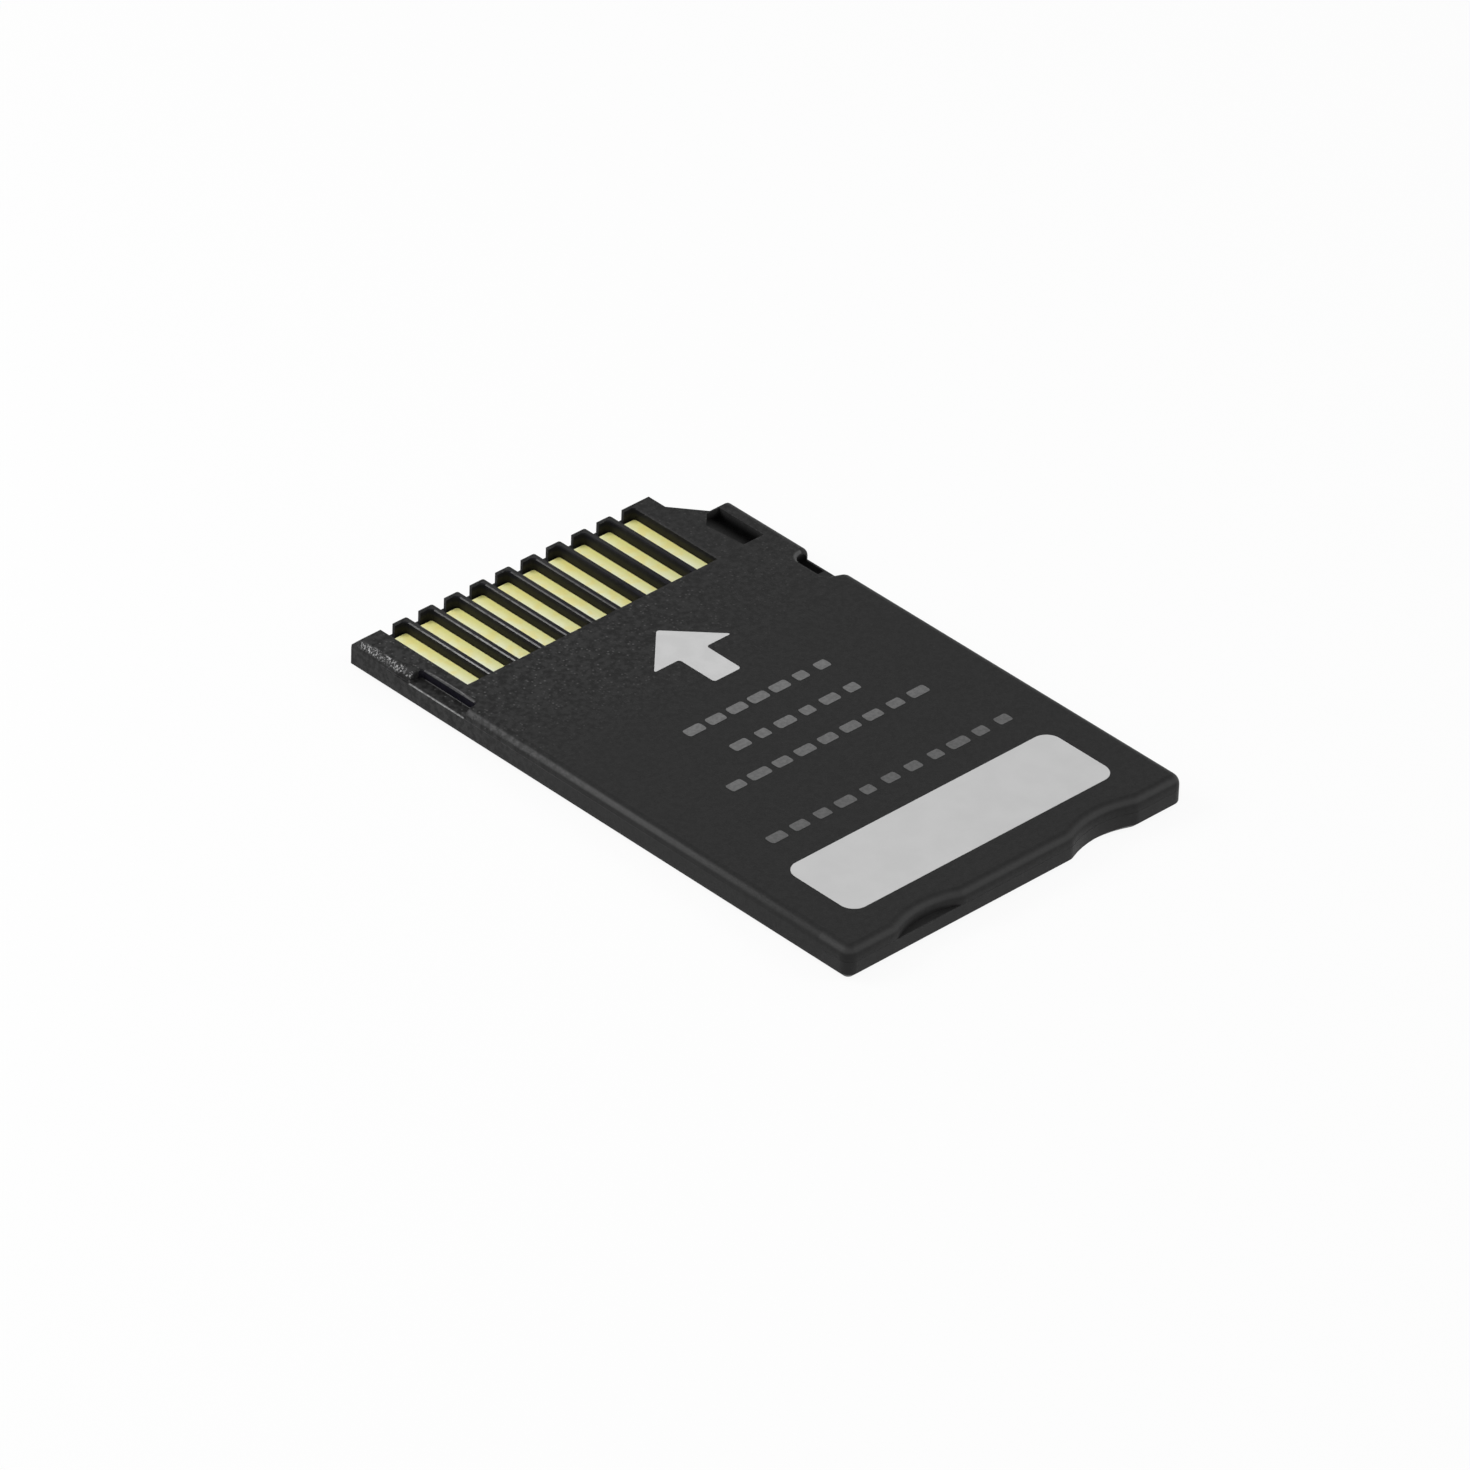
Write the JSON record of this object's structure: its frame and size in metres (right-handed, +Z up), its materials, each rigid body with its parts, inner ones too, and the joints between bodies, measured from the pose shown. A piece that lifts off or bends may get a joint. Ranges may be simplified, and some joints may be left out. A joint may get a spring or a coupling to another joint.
{
  "type": "removable memory card",
  "caption": "Thin black memory card with ribbed contact slots along one end, a keyed corner, side notches and a pale writing panel.",
  "frame": {"origin": "middle of the card's outline, on the face that it rests on", "axes": "+X across the card to the side with the keyed corner, +Y towards the end that goes in first, +Z up out of the side with the contacts"},
  "size_m": [0.02, 0.031, 0.0016],
  "materials": {
    "shell_plastic": "fine spark-eroded grain",
    "tray_plastic": "fine grain",
    "panel_ink": "flat print",
    "contact_plating": "bright gold plating",
    "board_laminate": "solder mask",
    "package_resin": "moulded resin",
    "solder": "tin solder",
    "chip_ceramic": "fired ceramic",
    "resistor_glaze": "glass glaze"
  },
  "bodies": {
    "root": {"contact_side_shell": "shell_plastic", "label_side_shell": "tray_plastic", "writing_panel": "panel_ink", "circuit_board": "board_laminate", "memory_package": "package_resin", "controller_package": "package_resin", "memory_solder_lands": "solder", "controller_solder_lands": "solder", "capacitor_bodies": "chip_ceramic", "capacitor_terminals": "solder", "resistor_bodies": "resistor_glaze", "resistor_terminals": "solder", "contact_pad_1": "contact_plating", "contact_pad_2": "contact_plating", "contact_pad_3": "contact_plating", "contact_pad_4": "contact_plating", "contact_pad_5": "contact_plating", "contact_pad_6": "contact_plating", "contact_pad_7": "contact_plating", "contact_pad_8": "contact_plating", "contact_pad_9": "contact_plating", "contact_pad_10": "contact_plating"}
  },
  "joints": []
}
